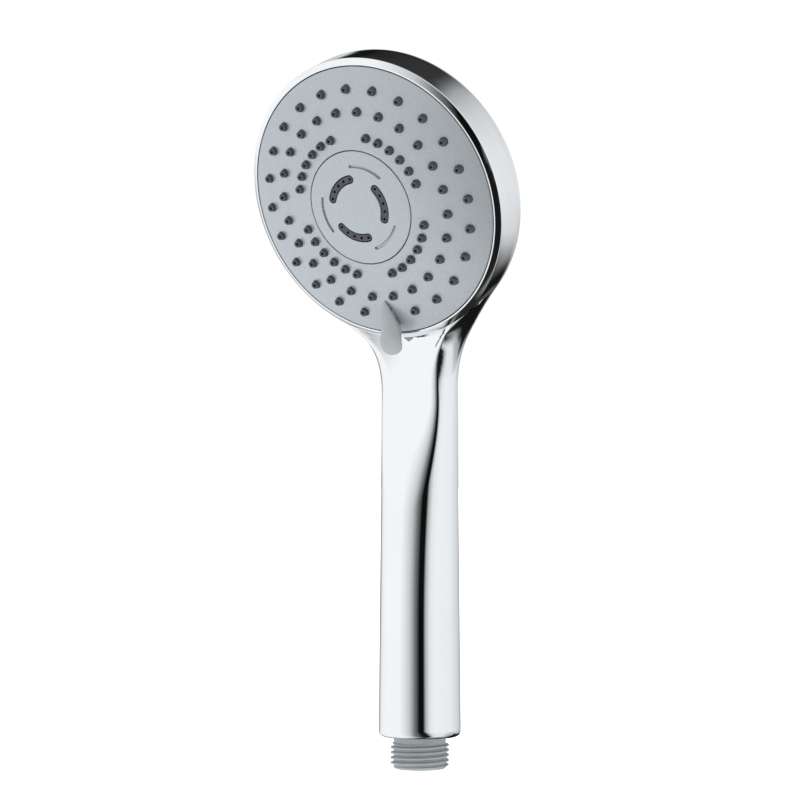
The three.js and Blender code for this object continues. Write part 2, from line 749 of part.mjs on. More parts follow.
function distributorDisc() {
  const low = ROTOR_TOP - ROTOR_WALL;
  const trackDepth = 0.6;
  const disc = turned([
    [6.6, low],
    [DETENT_RING - 2.8, low],
    [DETENT_RING - 2.8, low + trackDepth],
    [DETENT_RING + 2.8, low + trackDepth],
    [DETENT_RING + 2.8, low],
    [ROTOR_RADIUS, low],
    [ROTOR_RADIUS, ROTOR_TOP],
    [6.6, ROTOR_TOP],
    [6.6, low],
  ]);
  const channels = CHANNELS.map(({ degrees, reach }) =>
    radialSlot(2.4, PORT_RING, reach, degrees, ROTOR_TOP - 1.1, ROTOR_TOP + 1));
  const ports = CHANNELS.map(({ degrees }) => {
    const [x, y] = polar(PORT_RING, degrees);
    return rod(2.1, low - 1, ROTOR_TOP, x, y, COARSE);
  });
  const clicks = [-MODE_ANGLE, 0, MODE_ANGLE].map((turn) => clickPocket(90 + turn, low + trackDepth));
  return cut(disc, ...channels, ...ports, ...clicks);
}

const ARC_ANGLES = [0, 120, 240].map((turn) => DOWN - ARC_TURN - turn);

function centreDisc() {
  const skirt = DISC_RADIUS - 1.8;
  const disc = turned([
    [0, 3.3],
    [skirt, 3.3],
    [skirt, -1],
    [DISC_RADIUS, -1],
    ...domeLine(DISC_RADIUS, 0, 0),
  ]);
  const slots = ARC_ANGLES.map((middle) =>
    arcSlot(JET_RING, ARC_HALF_WIDTH + GAP, middle, ARC_SPREAD, 2, 9));
  return cut(disc, ...slots);
}

function massagePad() {
  const pad = rod(18.4, 1.5, 3, 0, 0, FINE);
  const arcs = ARC_ANGLES.map((middle) =>
    arcSlot(JET_RING, ARC_HALF_WIDTH, middle, ARC_SPREAD, 2, 6.2));
  const jets = ARC_ANGLES.flatMap((middle) =>
    [-2, -1, 0, 1, 2].map((step) => {
      const [x, y] = polar(JET_RING, middle + (step * ARC_SPREAD) / 4);
      return rod(0.5, 0, 8, x, y, 5);
    }));
  return cut(join(pad, ...arcs), ...jets);
}

// Impeller with a half-round shutter that opens and closes the massage outlets as it spins.
function turbine() {
  const hub = ring(6.9, 8.3, -7.5, 0.3, MEDIUM);
  const vaneCount = 8;
  const vanes = Array.from({ length: vaneCount }, (_, i) =>
    box(9.4, 1, -7.2, -2.4, 12.6, 0, (i * 2 * Math.PI) / vaneCount));
  const rimBand = ring(16.6, 17.5, -4.6, -2, MEDIUM);
  const plate = ring(7.5, 17.5, -2.4, -1.2, MEDIUM);
  const window = box(40, 20, -3, 1, 0, 10);
  const shutter = cut(plate, window);
  return join(hub, rimBand, shutter, ...vanes);
}

// ---------------------------------------------------------------- assembly

const CHROME = { color: 0xd8dadd, roughness: 0.08, metalness: 1 };
const GREY_PLATE = { color: 0xb6bec4, roughness: 0.35, metalness: 0.3 };
const GREY_PLASTIC = { color: 0xa8afb0, roughness: 0.5, metalness: 0 };
const DARK_RUBBER = { color: 0x3b4046, roughness: 0.7, metalness: 0 };
const SEAL_RUBBER = { color: 0x1d1e20, roughness: 0.8, metalness: 0 };
const WHITE_PLASTIC = { color: 0xdedfdb, roughness: 0.5, metalness: 0 };
const STEEL = { color: 0xa9abad, roughness: 0.3, metalness: 1 };
const BRASS = { color: 0xc59a4a, roughness: 0.3, metalness: 1 };

function piece(name, solid, finish) {
  const mesh = new THREE.Mesh(geometryOf(solid), new THREE.MeshStandardMaterial(finish));
  mesh.name = name;
  return mesh;
}

const showerHead = new THREE.Group();
showerHead.add(
  piece("chrome_shell", chromeShell(), CHROME),
  piece("inlet_connector", inletConnector(), GREY_PLASTIC),
  piece("inlet_strainer", inletStrainer(), WHITE_PLASTIC),
  piece("flow_restrictor", flowRestrictor(), WHITE_PLASTIC),
  piece("water_tube", waterTube(), WHITE_PLASTIC),
  piece("tube_seal_lower", tubeSealLower(), SEAL_RUBBER),
  piece("tube_seal_upper", tubeSealUpper(), SEAL_RUBBER),
);

const head = new THREE.Group();
head.position.copy(HEAD_CENTRE);
head.rotation.x = Math.PI / 2 + HEAD_TILT;
head.add(
  piece("bezel_ring", bezelRing(), CHROME),
  piece("valve_base", valveBase(), WHITE_PLASTIC),
  piece("post_insert", postInsert(), BRASS),
  piece("post_seal", postSeal(), SEAL_RUBBER),
  piece("screw_washer", screwWasher(), STEEL),
  piece("port_seal", portSeal(), SEAL_RUBBER),
  piece("port_spring", portSpring(), STEEL),
  piece("detent_plunger", detentPlunger(), WHITE_PLASTIC),
  piece("detent_spring", detentSpring(), STEEL),
  piece("face_plate", facePlate(), GREY_PLATE),
  piece("selector_lever", selectorLever(), GREY_PLASTIC),
  piece("nozzle_mat", nozzleMat(), DARK_RUBBER),
  piece("spray_chamber", sprayChamber(), WHITE_PLASTIC),
  piece("chamber_gasket", chamberGasket(), SEAL_RUBBER),
  piece("distributor_disc", distributorDisc(), WHITE_PLASTIC),
  piece("centre_disc", centreDisc(), GREY_PLATE),
  piece("massage_pad", massagePad(), DARK_RUBBER),
  piece("turbine", turbine(), WHITE_PLASTIC),
);

const centre = piece("centre_screw", centreScrew(), STEEL);
centre.position.z = -2.2 + GAP;
head.add(centre);

SCREW_ANGLES.forEach((degrees, i) => {
  const screw = piece(`base_screw_${i + 1}`, baseScrew(), STEEL);
  screw.position.set(...polar(SCREW_RING, degrees), BASE_TOP + GAP);
  head.add(screw);
});

showerHead.add(head);

export default showerHead;
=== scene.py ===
import json
import math

import bpy
import numpy as np
from mathutils import Matrix, Vector


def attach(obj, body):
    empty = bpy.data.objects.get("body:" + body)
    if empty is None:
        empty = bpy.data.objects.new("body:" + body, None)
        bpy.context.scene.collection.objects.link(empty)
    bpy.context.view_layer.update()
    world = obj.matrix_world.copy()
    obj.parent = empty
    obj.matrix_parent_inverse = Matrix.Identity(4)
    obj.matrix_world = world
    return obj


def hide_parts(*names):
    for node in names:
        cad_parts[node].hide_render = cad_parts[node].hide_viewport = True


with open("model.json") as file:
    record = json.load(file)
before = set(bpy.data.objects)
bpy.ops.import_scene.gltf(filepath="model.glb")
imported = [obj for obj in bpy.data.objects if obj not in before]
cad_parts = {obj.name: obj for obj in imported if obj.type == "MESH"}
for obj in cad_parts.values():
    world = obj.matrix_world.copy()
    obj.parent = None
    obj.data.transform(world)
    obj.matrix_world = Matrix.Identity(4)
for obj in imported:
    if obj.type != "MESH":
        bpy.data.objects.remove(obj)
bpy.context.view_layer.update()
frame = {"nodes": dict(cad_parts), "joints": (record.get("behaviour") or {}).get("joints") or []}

MM = 0.001

# ---------------------------------------------------------------- driving dimensions

# Handle and inlet.
THREAD_RADIUS = 20.955 / 2
THREAD_ROOT_RADIUS = 18.631 / 2
THREAD_PITCH = 1.814
THREAD_LENGTH = 9.4
CONNECTOR_BORE = 6.5
CONNECTOR_FLANGE = 11.9
CONNECTOR_SOCKET = 7
CONNECTOR_TOP = 28
HANDLE_BOTTOM = 11.4
HANDLE_WAIST = 135
HANDLE_RADIUS = 13.4
HANDLE_TAPER = 0.0101
OVAL_START = 45
NECK_START = 140
NECK_TOP = 200
BLEND = 22.46
FOOT_ROUNDING = 2.4
TUBE_OFFSET = 1.8

# Head.
HEAD_RADIUS = 51
BACK_DEPTH = 34.2
BACK_RADIUS = 100
BACK_ROUNDING = 5
RIM_FRONT = -10.4
RIM_CLEARANCE = 0.15
SCOOP_START = 134
SCOOP_FRONT = -6.9
SCOOP_CURVE = 0.007
SCOOP_LEAN = 0.01
SCOOP_DISH = 0.0135
SCOOP_EDGE = 1.1
SHELL_WALL = 2.2
SEAT_DEPTH = -12.2
SCREW_RING = 42.3
SCREW_ANGLES = (90, -25, -155)
BOSS_RADIUS = 4
BOSS_BORE = 1.6
BOSS_FOOT = -22
BOSS_TOP = -16.7

# Spray face.
DOME_RADIUS = 121.5
DOME_FRONT = 7.16
FACE_RADIUS = 48.3
FACE_WALL = 1.8
DISC_RADIUS = 20.35
OUTER_RING = 41.1
MIDDLE_RING = 33.65
INNER_RING = 25.4
NOZZLE_RADIUS = 1.55
NOZZLE_TIP_RADIUS = 1.25
NOZZLE_BORE = 0.5
NOZZLE_STANDS = 1.65
NOZZLE_CLEARANCE = 0.08
MAT_WALL = 1.2
MAT_DEPTH = 2.1
JET_RING = 10.7
JET_BORE = 0.55
ARC_TURN = 22
ARC_SPREAD = 62
ARC_HALF_WIDTH = 1.25
ARC_SLOT_HALF_WIDTH = 1.55
GROOVE_RING = 15.1
GROOVE_SPREAD = 47
LEVER_TIP = 35.3
LEVER_END = 54.7
LEVER_HALF_WIDTH = 4.35
LEVER_TOP = 5.5
LEVER_INNER_TOP = 2.35
LEVER_UNDERSIDE = 1.4

# Index mark in the hollow, by its heights in the object's frame.
MARK_BASE = 153.5
MARK_TIP = 152.1
MARK_HALF_WIDTH = 2.1
MARK_LIFT = 0.15
MARK_ROOT = 0.2

# Camera.
CAMERA_PLACE = (618.9, -940.7, 131.4)
CAMERA_AZIMUTH = math.radians(33.7)
CAMERA_LENS = 141.9

# Slices round a turned shape, and round the casing's skin.
FINE = 256
MEDIUM = 96
SMALL = 24
SKIN_SLICES = 384

# Angles of the head's frame, in degrees.
DOWN = -90
ARC_ANGLES = [DOWN - ARC_TURN - turn for turn in (0, 120, 240)]

# ---------------------------------------------------------------- frames

turn_joint = next(joint for joint in frame["joints"] if joint["name"] == "selector_turn")
SPRAY = Vector(turn_joint["axis"]).normalized()
ACROSS = Vector((1, 0, 0))
HEAD_UP = SPRAY.cross(ACROSS)
HEAD_PLACE = Vector(turn_joint["pos_m"]) / MM
HEAD_AXES = np.array([ACROSS, HEAD_UP, SPRAY])


def to_object(points):
    """Points of the head's frame, in the object's frame."""
    return np.asarray(points, float) @ HEAD_AXES + np.array(HEAD_PLACE)


def to_head(points):
    """Points of the object's frame, in the head's frame."""
    return (np.asarray(points, float) - np.array(HEAD_PLACE)) @ HEAD_AXES.T


def dome(radius):
    """Height of the spray face's front at a radius."""
    return DOME_FRONT - DOME_RADIUS + np.sqrt(DOME_RADIUS**2 - np.square(radius))


def back(radius):
    """Height of the head's domed back at a radius."""
    return BACK_RADIUS - BACK_DEPTH - np.sqrt(BACK_RADIUS**2 - np.square(radius))


def polar(radius, degrees):
    """A point of the head's frame at a radius and an angle; the lever is at DOWN."""
    angle = math.radians(degrees)
    return radius * math.cos(angle), radius * math.sin(angle)

# ---------------------------------------------------------------- meshes


def mesh_piece(name, points, faces, in_head=True):
    """A new object from points in millimetres."""
    placed = to_object(points) if in_head else np.asarray(points, float)
    mesh = bpy.data.meshes.new(name)
    mesh.from_pydata((placed * MM).tolist(), [], faces)
    mesh.update()
    piece = bpy.data.objects.new(name, mesh)
    bpy.context.scene.collection.objects.link(piece)
    return piece


def ring_faces(rows, slices, closed):
    """Quads that join rows of points; a closed strip also joins the last row to the first."""
    last = rows if closed else rows - 1
    faces = []
    for row in range(last):
        low = row * slices
        high = ((row + 1) % rows) * slices
        for i in range(slices):
            j = (i + 1) % slices
            faces.append((low + i, low + j, high + j, high + i))
    return faces


def stacked(rows):
    """Points and faces of a closed body made of rows of points, with a flat cap at both ends."""
    slices = len(rows[0])
    points = np.concatenate(rows)
    faces = ring_faces(len(rows), slices, False)
    faces.append(tuple(reversed(range(slices))))
    faces.append(tuple(range(len(points) - slices, len(points))))
    return points, faces


def circle(radius, height, slices, x=0, y=0):
    """A row of points round an upright axis."""
    angles = np.arange(slices) * 2 * math.pi / slices
    flat = np.full(slices, float(height))
    return np.stack([x + radius * np.cos(angles), y + radius * np.sin(angles), flat], 1)


def turned(profile, slices=FINE, x=0, y=0):
    """Points and faces of a bar turned about local Z, from its lowest section to its highest."""
    return stacked([circle(radius, height, slices, x, y) for radius, height in profile])


def turned_ring(profile, slices=FINE, x=0, y=0):
    """Points and faces of a ring whose section is a closed profile, given anticlockwise."""
    points = np.concatenate([circle(radius, height, slices, x, y) for radius, height in profile])
    return points, ring_faces(len(profile), slices, True)


def gathered(shapes):
    """Several point and face lists as one."""
    points = []
    faces = []
    count = 0
    for shape_points, shape_faces in shapes:
        points.append(shape_points)
        faces.extend(tuple(count + corner for corner in face) for face in shape_faces)
        count += len(shape_points)
    return np.concatenate(points), faces


def arc_bar(radius, degrees, spread, widths):
    """A bar with round ends that follows an arc; widths lists its half width at each height."""
    angles = np.radians(degrees + np.linspace(-spread / 2, spread / 2, 33))
    caps = np.linspace(0, math.pi, 13)[1:-1]
    rows = []
    for half_width, height in widths:
        path = [polar_point(radius + half_width, angle) for angle in angles]
        path += [cap_point(radius, angles[-1], half_width, turn, 1) for turn in caps]
        path += [polar_point(radius - half_width, angle) for angle in angles[::-1]]
        path += [cap_point(radius, angles[0], half_width, turn, -1) for turn in caps[::-1]]
        rows.append(np.array([(x, y, height) for x, y in path]))
    return stacked(rows)


def polar_point(radius, angle):
    return radius * math.cos(angle), radius * math.sin(angle)


def cap_point(radius, angle, half_width, turn, side):
    """A point of the round end: turn 0 is the bar's outer edge and pi its inner edge."""
    reach = radius + half_width * math.cos(turn)
    along = side * half_width * math.sin(turn)
    x = reach * math.cos(angle) - along * math.sin(angle)
    y = reach * math.sin(angle) + along * math.cos(angle)
    return x, y


def combine(piece, tool, operation="DIFFERENCE"):
    """Cuts a tool out of a piece or joins it to the piece, and removes the tool."""
    modifier = piece.modifiers.new(operation.title(), "BOOLEAN")
    modifier.operation = operation
    modifier.solver = "EXACT"
    modifier.object = tool
    graph = bpy.context.evaluated_depsgraph_get()
    result = bpy.data.meshes.new_from_object(piece.evaluated_get(graph))
    old = piece.data
    piece.modifiers.clear()
    piece.data = result
    result.name = piece.name
    bpy.data.meshes.remove(old)
    bpy.data.meshes.remove(tool.data)
    return piece


def cut(piece, *shapes, in_head=True):
    """Cuts shapes out of a piece, one after another."""
    for points, faces in shapes:
        combine(piece, mesh_piece("tool", points, faces, in_head))
    return piece


def join(piece, *shapes, in_head=True):
    """Joins shapes to a piece, one after another."""
    for points, faces in shapes:
        combine(piece, mesh_piece("tool", points, faces, in_head), "UNION")
    return piece


def smooth(piece, sharp_degrees=30, surfaces=()):
    """Smooth shading with sharp edges, and exact normals where a face lies on a known surface.

    Each surface is a pair: depth(points) is the distance to it, and normal(points) its normal,
    both for points in millimetres in the object's frame.
    """
    mesh = piece.data
    mesh.shade_smooth()
    mesh.set_sharp_from_angle(angle=math.radians(sharp_degrees))
    if not surfaces:
        return piece
    count = len(mesh.loops)
    normals = np.empty(count * 3)
    mesh.corner_normals.foreach_get("vector", normals)
    normals = normals.reshape(-1, 3)
    corners = np.empty(count, int)
    mesh.loops.foreach_get("vertex_index", corners)
    places = np.empty(len(mesh.vertices) * 3)
    mesh.vertices.foreach_get("co", places)
    places = places.reshape(-1, 3) / MM
    sizes = np.empty(len(mesh.polygons), int)
    mesh.polygons.foreach_get("loop_total", sizes)
    facing = np.empty(len(mesh.polygons) * 3)
    mesh.polygons.foreach_get("normal", facing)
    facing = np.repeat(facing.reshape(-1, 3), sizes, axis=0)
    face_of = np.repeat(np.arange(len(sizes)), sizes)
    at_corners = places[corners]
    for depth, normal in surfaces:
        away = np.abs(depth(at_corners))
        exact = normal(at_corners)
        loose = (away > 0.05) | (np.sum(facing * exact, 1) < 0.8)
        bad = np.bincount(face_of, weights=loose, minlength=len(sizes)) > 0
        chosen = ~bad[face_of]
        normals[chosen] = exact[chosen]
    mesh.normals_split_custom_set(normals.tolist())
    return piece


def place(piece, body, slot, *nodes):
    """Gives a finished piece its material, its body and the CAD nodes that it stands for."""
    piece.data.materials.clear()
    piece.data.materials.append(MATERIALS[slot])
    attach(piece, body)
    if nodes:
        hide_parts(*nodes)


# ---------------------------------------------------------------- materials


def new_material(name, colour, metallic, roughness):
    """A material with its node tree and its shader."""
    material = bpy.data.materials.new(name)
    material.use_nodes = True
    shader = material.node_tree.nodes["Principled BSDF"]
    shader.inputs["Base Color"].default_value = (*colour, 1)
    shader.inputs["Metallic"].default_value = metallic
    shader.inputs["Roughness"].default_value = roughness
    return material, material.node_tree, shader


def noise(tree, feature, detail=2, stretch=(1, 1, 1)):
    """A noise pattern whose features are about so many millimetres across."""
    coordinates = tree.nodes.new("ShaderNodeTexCoord")
    mapping = tree.nodes.new("ShaderNodeMapping")
    mapping.inputs["Scale"].default_value = stretch
    pattern = tree.nodes.new("ShaderNodeTexNoise")
    pattern.inputs["Scale"].default_value = 1 / (feature * MM)
    pattern.inputs["Detail"].default_value = detail
    tree.links.new(coordinates.outputs["Object"], mapping.inputs["Vector"])
    tree.links.new(mapping.outputs["Vector"], pattern.inputs["Vector"])
    return pattern.outputs["Fac"]


def vary(tree, shader, socket, pattern, low, high):
    """Moves a socket between two values as the pattern goes from 0.3 to 0.7."""
    reach = tree.nodes.new("ShaderNodeMapRange")
    reach.inputs["From Min"].default_value = 0.3
    reach.inputs["From Max"].default_value = 0.7
    reach.inputs["To Min"].default_value = low
    reach.inputs["To Max"].default_value = high
    tree.links.new(pattern, reach.inputs["Value"])
    tree.links.new(reach.outputs["Result"], shader.inputs[socket])


def vary_colour(tree, shader, pattern, first, second):
    """Moves the base colour between two colours as the pattern goes from 0.3 to 0.7."""
    ramp = tree.nodes.new("ShaderNodeValToRGB")
    ramp.color_ramp.elements[0].position = 0.3
    ramp.color_ramp.elements[0].color = (*first, 1)
    ramp.color_ramp.elements[1].position = 0.7
    ramp.color_ramp.elements[1].color = (*second, 1)
    tree.links.new(pattern, ramp.inputs["Fac"])
    tree.links.new(ramp.outputs["Color"], shader.inputs["Base Color"])


def bump(tree, shader, pattern, depth, strength=1.0):
    """Relief of so many millimetres from a pattern."""
    relief = tree.nodes.new("ShaderNodeBump")
    relief.inputs["Distance"].default_value = depth * MM
    relief.inputs["Strength"].default_value = strength
    tree.links.new(pattern, relief.inputs["Height"])
    tree.links.new(relief.outputs["Normal"], shader.inputs["Normal"])


def chrome():
    """Bright plating on plastic, with a trace of handling marks and a very faint waviness."""
    material, tree, shader = new_material("chrome_plating", (0.885, 0.91, 0.935), 1, 0.04)
    vary_colour(tree, shader, noise(tree, 30), (0.875, 0.9, 0.926), (0.893, 0.918, 0.942))
    vary(tree, shader, "Roughness", noise(tree, 6, 5), 0.03, 0.065)
    bump(tree, shader, noise(tree, 9, 1), 0.004)
    return material


def grey_plate():
    """Satin grey paint with a fine metallic flake."""
    material, tree, shader = new_material("grey_plate", (0.45, 0.49, 0.52), 0.6, 0.3)
    vary_colour(tree, shader, noise(tree, 0.9, 2), (0.435, 0.474, 0.504), (0.468, 0.507, 0.536))
    vary(tree, shader, "Roughness", noise(tree, 1.2, 4), 0.27, 0.36)
    bump(tree, shader, noise(tree, 0.9, 1), 0.0012)
    return material


def grey_plastic():
    """Moulded grey plastic with a soft, slightly eggshell surface."""
    material, tree, shader = new_material("grey_plastic", (0.34, 0.372, 0.385), 0, 0.42)
    vary_colour(tree, shader, noise(tree, 4, 4), (0.33, 0.362, 0.374), (0.353, 0.385, 0.396))
    vary(tree, shader, "Roughness", noise(tree, 0.8, 4), 0.36, 0.48)
    bump(tree, shader, noise(tree, 0.35, 3), 0.006)
    return material


def dark_rubber():
    """Dark silicone of the nozzles, matt with a fine moulded grain and dusty highlights."""
    material, tree, shader = new_material("dark_rubber", (0.05, 0.057, 0.064), 0, 0.45)
    vary_colour(tree, shader, noise(tree, 0.6, 4), (0.04, 0.046, 0.052), (0.065, 0.073, 0.08))
    vary(tree, shader, "Roughness", noise(tree, 0.4, 4), 0.38, 0.52)
    bump(tree, shader, noise(tree, 0.15, 3), 0.006)
    return material


def seal_rubber():
    """Black rubber of the seals, with the dull bloom of moulded parts."""
    material, tree, shader = new_material("seal_rubber", (0.014, 0.014, 0.015), 0, 0.6)
    vary_colour(tree, shader, noise(tree, 1.5, 4), (0.01, 0.01, 0.011), (0.022, 0.022, 0.023))
    vary(tree, shader, "Roughness", noise(tree, 0.5, 4), 0.5, 0.72)
    bump(tree, shader, noise(tree, 0.2, 3), 0.005)
    return material


def white_plastic():
    """Moulded white plastic of the water way, slightly warm in the thick places."""
    material, tree, shader = new_material("white_plastic", (0.72, 0.72, 0.7), 0, 0.4)
    vary_colour(tree, shader, noise(tree, 8, 3), (0.7, 0.7, 0.675), (0.75, 0.75, 0.735))
    vary(tree, shader, "Roughness", noise(tree, 0.9, 4), 0.34, 0.48)
    bump(tree, shader, noise(tree, 0.5, 3), 0.006)
    return material


def steel():
    """Stainless steel with fine drawing marks."""
    material, tree, shader = new_material("steel", (0.6, 0.6, 0.59), 1, 0.25)
    marks = noise(tree, 0.25, 3, (1, 1, 0.1))
    vary_colour(tree, shader, noise(tree, 2, 3), (0.57, 0.57, 0.565), (0.64, 0.64, 0.63))
    vary(tree, shader, "Roughness", marks, 0.2, 0.34)
    bump(tree, shader, marks, 0.004)
    return material


def brass():
    """Turned brass with slight tarnish."""
    material, tree, shader = new_material("brass", (0.75, 0.53, 0.24), 1, 0.28)
    vary_colour(tree, shader, noise(tree, 1.5, 4), (0.62, 0.42, 0.18), (0.78, 0.56, 0.27))
    vary(tree, shader, "Roughness", noise(tree, 0.5, 4), 0.22, 0.38)
    bump(tree, shader, noise(tree, 0.3, 3, (1, 1, 4)), 0.004)
    return material


MATERIALS = {
    "chrome": chrome(),
    "grey_plate": grey_plate(),
    "grey_plastic": grey_plastic(),
    "dark_rubber": dark_rubber(),
    "seal_rubber": seal_rubber(),
    "white_plastic": white_plastic(),
    "steel": steel(),
    "brass": brass(),
}

# ---------------------------------------------------------------- casing


def smooth_min(a, b, reach):
    """The lesser of two values, with a round change-over where they are within reach."""
    share = np.clip(0.5 + 0.5 * (b - a) / reach, 0, 1)
    return b + (a - b) * share - reach * share * (1 - share)


def smooth_max(a, b, reach):
    """The greater of two values, with a round change-over where they are within reach."""
    return -smooth_min(-a, -b, reach)


def rise(height, start, length, power, limit):
    """A curve that leaves zero at a height, passes one after a length and then levels off."""
    return smooth_min((np.maximum(0, height - start) / length) ** power, limit, 0.5)


def handle_field(points):
    """The handle: round at the foot, and wider than deep towards the neck."""
    x, y, z = points.T
    radius = HANDLE_RADIUS + smooth_max(HANDLE_TAPER * (HANDLE_WAIST - z), 0, 0.4)
    oval = rise(z, OVAL_START, 95, 2.5, 1.35)
    neck = rise(z, NECK_START, 50, 2, 1.5)
    wide = 1 + 0.36 * oval
    deep = 1 - 0.15 * oval
    even = np.hypot(math.cos(CAMERA_AZIMUTH) * wide, math.sin(CAMERA_AZIMUTH) * deep)
    across = x / (wide / even - 0.33 * neck)
    through = (y + 3 * neck) / (deep / even - 0.1 * neck)
    return smooth_max(np.hypot(across, through) - radius, z - NECK_TOP, 20)


def head_field(points):
    """The head: a short drum with a domed back."""
    local = to_head(points)
    radius = np.hypot(local[:, 0], local[:, 1])
    rear = np.hypot(radius, local[:, 2] + BACK_DEPTH - BACK_RADIUS) - BACK_RADIUS
    drum = smooth_max(radius - HEAD_RADIUS, rear, BACK_ROUNDING)
    return smooth_max(drum, local[:, 2] + 6, 1)


def scoop_field(points):
    """The neck's front: curved lower down, and hollowed from side to side under the bezel."""
    x, y, z = points.T
    below = np.maximum(0, SCOOP_START - z)
    above = np.maximum(0, z - SCOOP_START)
    front = SCOOP_FRONT - SCOOP_CURVE * below**2 - SCOOP_LEAN * above
    dish = SCOOP_DISH * (1 - np.exp(-np.square(above / 11)))
    return front - dish * x**2 - y


def skin_field(points):
    """Negative inside the casing's outside shape, zero on it."""
    skin = smooth_min(handle_field(points), head_field(points), BLEND)
    local = to_head(points)
    height = points[:, 2]
    in_front = (np.hypot(local[:, 0], local[:, 1]) > HEAD_RADIUS - 0.8) & (height < 168)
    edge = SCOOP_EDGE + 0.02 * np.maximum(0, 136 - height) ** 1.5
    skin = np.where(in_front, smooth_max(skin, scoop_field(points), edge), skin)
    return smooth_max(skin, HANDLE_BOTTOM - height, FOOT_ROUNDING)


def slope(field, points):
    """Unit normals of a field's level surface."""
    step = 1e-3
    sides = [
        field(points + offset) - field(points - offset)
        for offset in np.eye(3) * step
    ]
    gradient = np.stack(sides, 1)
    return gradient / np.linalg.norm(gradient, axis=1, keepdims=True)


def section_middle(height):
    """Depth of the middle of the casing's level section, or nothing above the casing."""
    depths = np.linspace(-70, 30, 2001)
    line = np.stack([0 * depths, depths, 0 * depths + height], 1)
    held = depths[skin_field(line) < 0]
    return float(held.mean()) if len(held) else None


def skin_heights():
    """Heights of the skin's level sections: close together at the foot and at the top."""
    foot = HANDLE_BOTTOM + np.array([0.001, 0.04, 0.1, 0.2, 0.35, 0.6, 1, 1.6])
    handle = np.linspace(HANDLE_BOTTOM + 3, 140, 66)
    hollow = np.linspace(140.5, 168, 56)
    head = np.linspace(169, 246, 78)
    top = max(z for z in np.arange(252, 256, 0.01) if section_middle(z) is not None)
    crown = top - (top - 246) * (1 - np.linspace(0, 1, 26)[1:-1]) ** 2
    return np.concatenate([foot, handle, hollow, head, crown])


def skin_section(height, slices):
    """The skin's outline at a height, spread evenly over its wide and narrow sides."""
    stretch = 1 + 2 * float(np.clip((height - 150) / 50, 0, 1))
    angles = np.arange(slices) * 2 * math.pi / slices
    ways = np.stack([stretch * np.cos(angles), np.sin(angles), np.zeros(slices)], 1)
    ways /= np.linalg.norm(ways, axis=1, keepdims=True)
    start = np.array([0, section_middle(height), height])

    def inside(reach):
        return skin_field(start + ways * reach[:, None]) < 0

    low = np.full(slices, 70.0)
    outside = ~inside(low)
    while outside.any():
        low[outside] = np.maximum(low[outside] - 0.5, 0)
        outside = ~inside(low) & (low > 0)
    high = low + 0.5
    for _ in range(16):
        half = (low + high) / 2
        held = inside(half)
        low = np.where(held, half, low)
        high = np.where(held, high, half)
    return start + ways * low[:, None]


def front_space():
    """Everything in front of the casing's rim, which the bezel and the face fill."""
    radius = HEAD_RADIUS + RIM_CLEARANCE
    return turned([(radius, RIM_FRONT), (radius, 40)])


def head_cavity():
    """The inside of the head, behind a seat for the bezel's skirt."""
    wall = HEAD_RADIUS - SHELL_WALL
    dished = [(r, float(back(r)) + SHELL_WALL) for r in np.linspace(3, 45.5, 14)]
    return turned([
        *dished, (wall, -17.6), (wall, SEAT_DEPTH), (wall + 0.8, SEAT_DEPTH), (wall + 0.8, 0),
    ], MEDIUM)


def upright(profile, y=0):
    """A bar turned about the handle's axis, or about one beside it."""
    return turned(profile, MEDIUM, 0, y)


def handle_bore():
    """The wide bore that takes the connector and the foot of the water tube."""
    return upright([(12.2, 0), (12.2, 16), (11.2, 16), (11.2, 84), (8.2, 84), (8.2, 114)])


def tube_passage():
    """The narrow bore of the water tube through the neck."""
    return upright([(5.4, 112), (5.4, 163), (7.2, 163), (7.2, 176)], TUBE_OFFSET)


def duct_way():
    """The bar that leads from the tube's passage to the port, as points and faces."""
    start = Vector((0, *to_head([[0, TUBE_OFFSET, 172.5]])[0, 1:]))
    end = Vector((0, -14, -20))
    start = start.lerp(end, -0.03)
    turn = Vector((0, 0, 1)).rotation_difference(end - start).to_matrix()
    points, faces = turned([(4.1, 0), (4.1, (end - start).length)], MEDIUM)
    return points @ np.array(turn).T + np.array(start), faces


def at_screws(profile):
    """The same turned bar at each of the valve base's screws."""
    return gathered([
        turned(profile, SMALL, *polar(SCREW_RING, degrees)) for degrees in SCREW_ANGLES
    ])


def casing():
    """Handle and head back in one shell, with its bores and the bosses of the valve base."""
    rows = [skin_section(height, SKIN_SLICES) for height in skin_heights()]
    piece = mesh_piece("casing", *stacked(rows), in_head=False)
    cut(piece, front_space(), head_cavity(), duct_way())
    cut(piece, handle_bore(), tube_passage(), in_head=False)
    join(piece, at_screws([(BOSS_RADIUS, BOSS_FOOT), (BOSS_RADIUS, BOSS_TOP)]))
    cut(piece, at_screws([(BOSS_BORE, BOSS_FOOT + 0.6), (BOSS_BORE, 0)]))
    smooth(piece, 30, [(skin_field, lambda points: slope(skin_field, points))])
    place(piece, "body", "chrome", "chrome_shell")


# ---------------------------------------------------------------- turned trim


def rounded(corners, steps=6):
    """A closed profile whose corners (radius, height, fillet) are rounded."""
    profile = []
    count = len(corners)
    for i, (radius, height, fillet) in enumerate(corners):
        here = Vector((radius, height))
        if fillet == 0:
            profile.append((radius, height))
            continue
        before = (Vector(corners[i - 1][:2]) - here).normalized()
        after = (Vector(corners[(i + 1) % count][:2]) - here).normalized()
        half = before.angle(after) / 2
        middle = here + (before + after).normalized() * fillet / math.sin(half)
        first = here + before * fillet / math.tan(half) - middle
        last = here + after * fillet / math.tan(half) - middle
        turn = first.angle_signed(last)
        for step in range(steps + 1):
            arm = first.copy()
            arm.rotate(Matrix.Rotation(-turn * step / steps, 2))
            profile.append(tuple(middle + arm))
    return profile


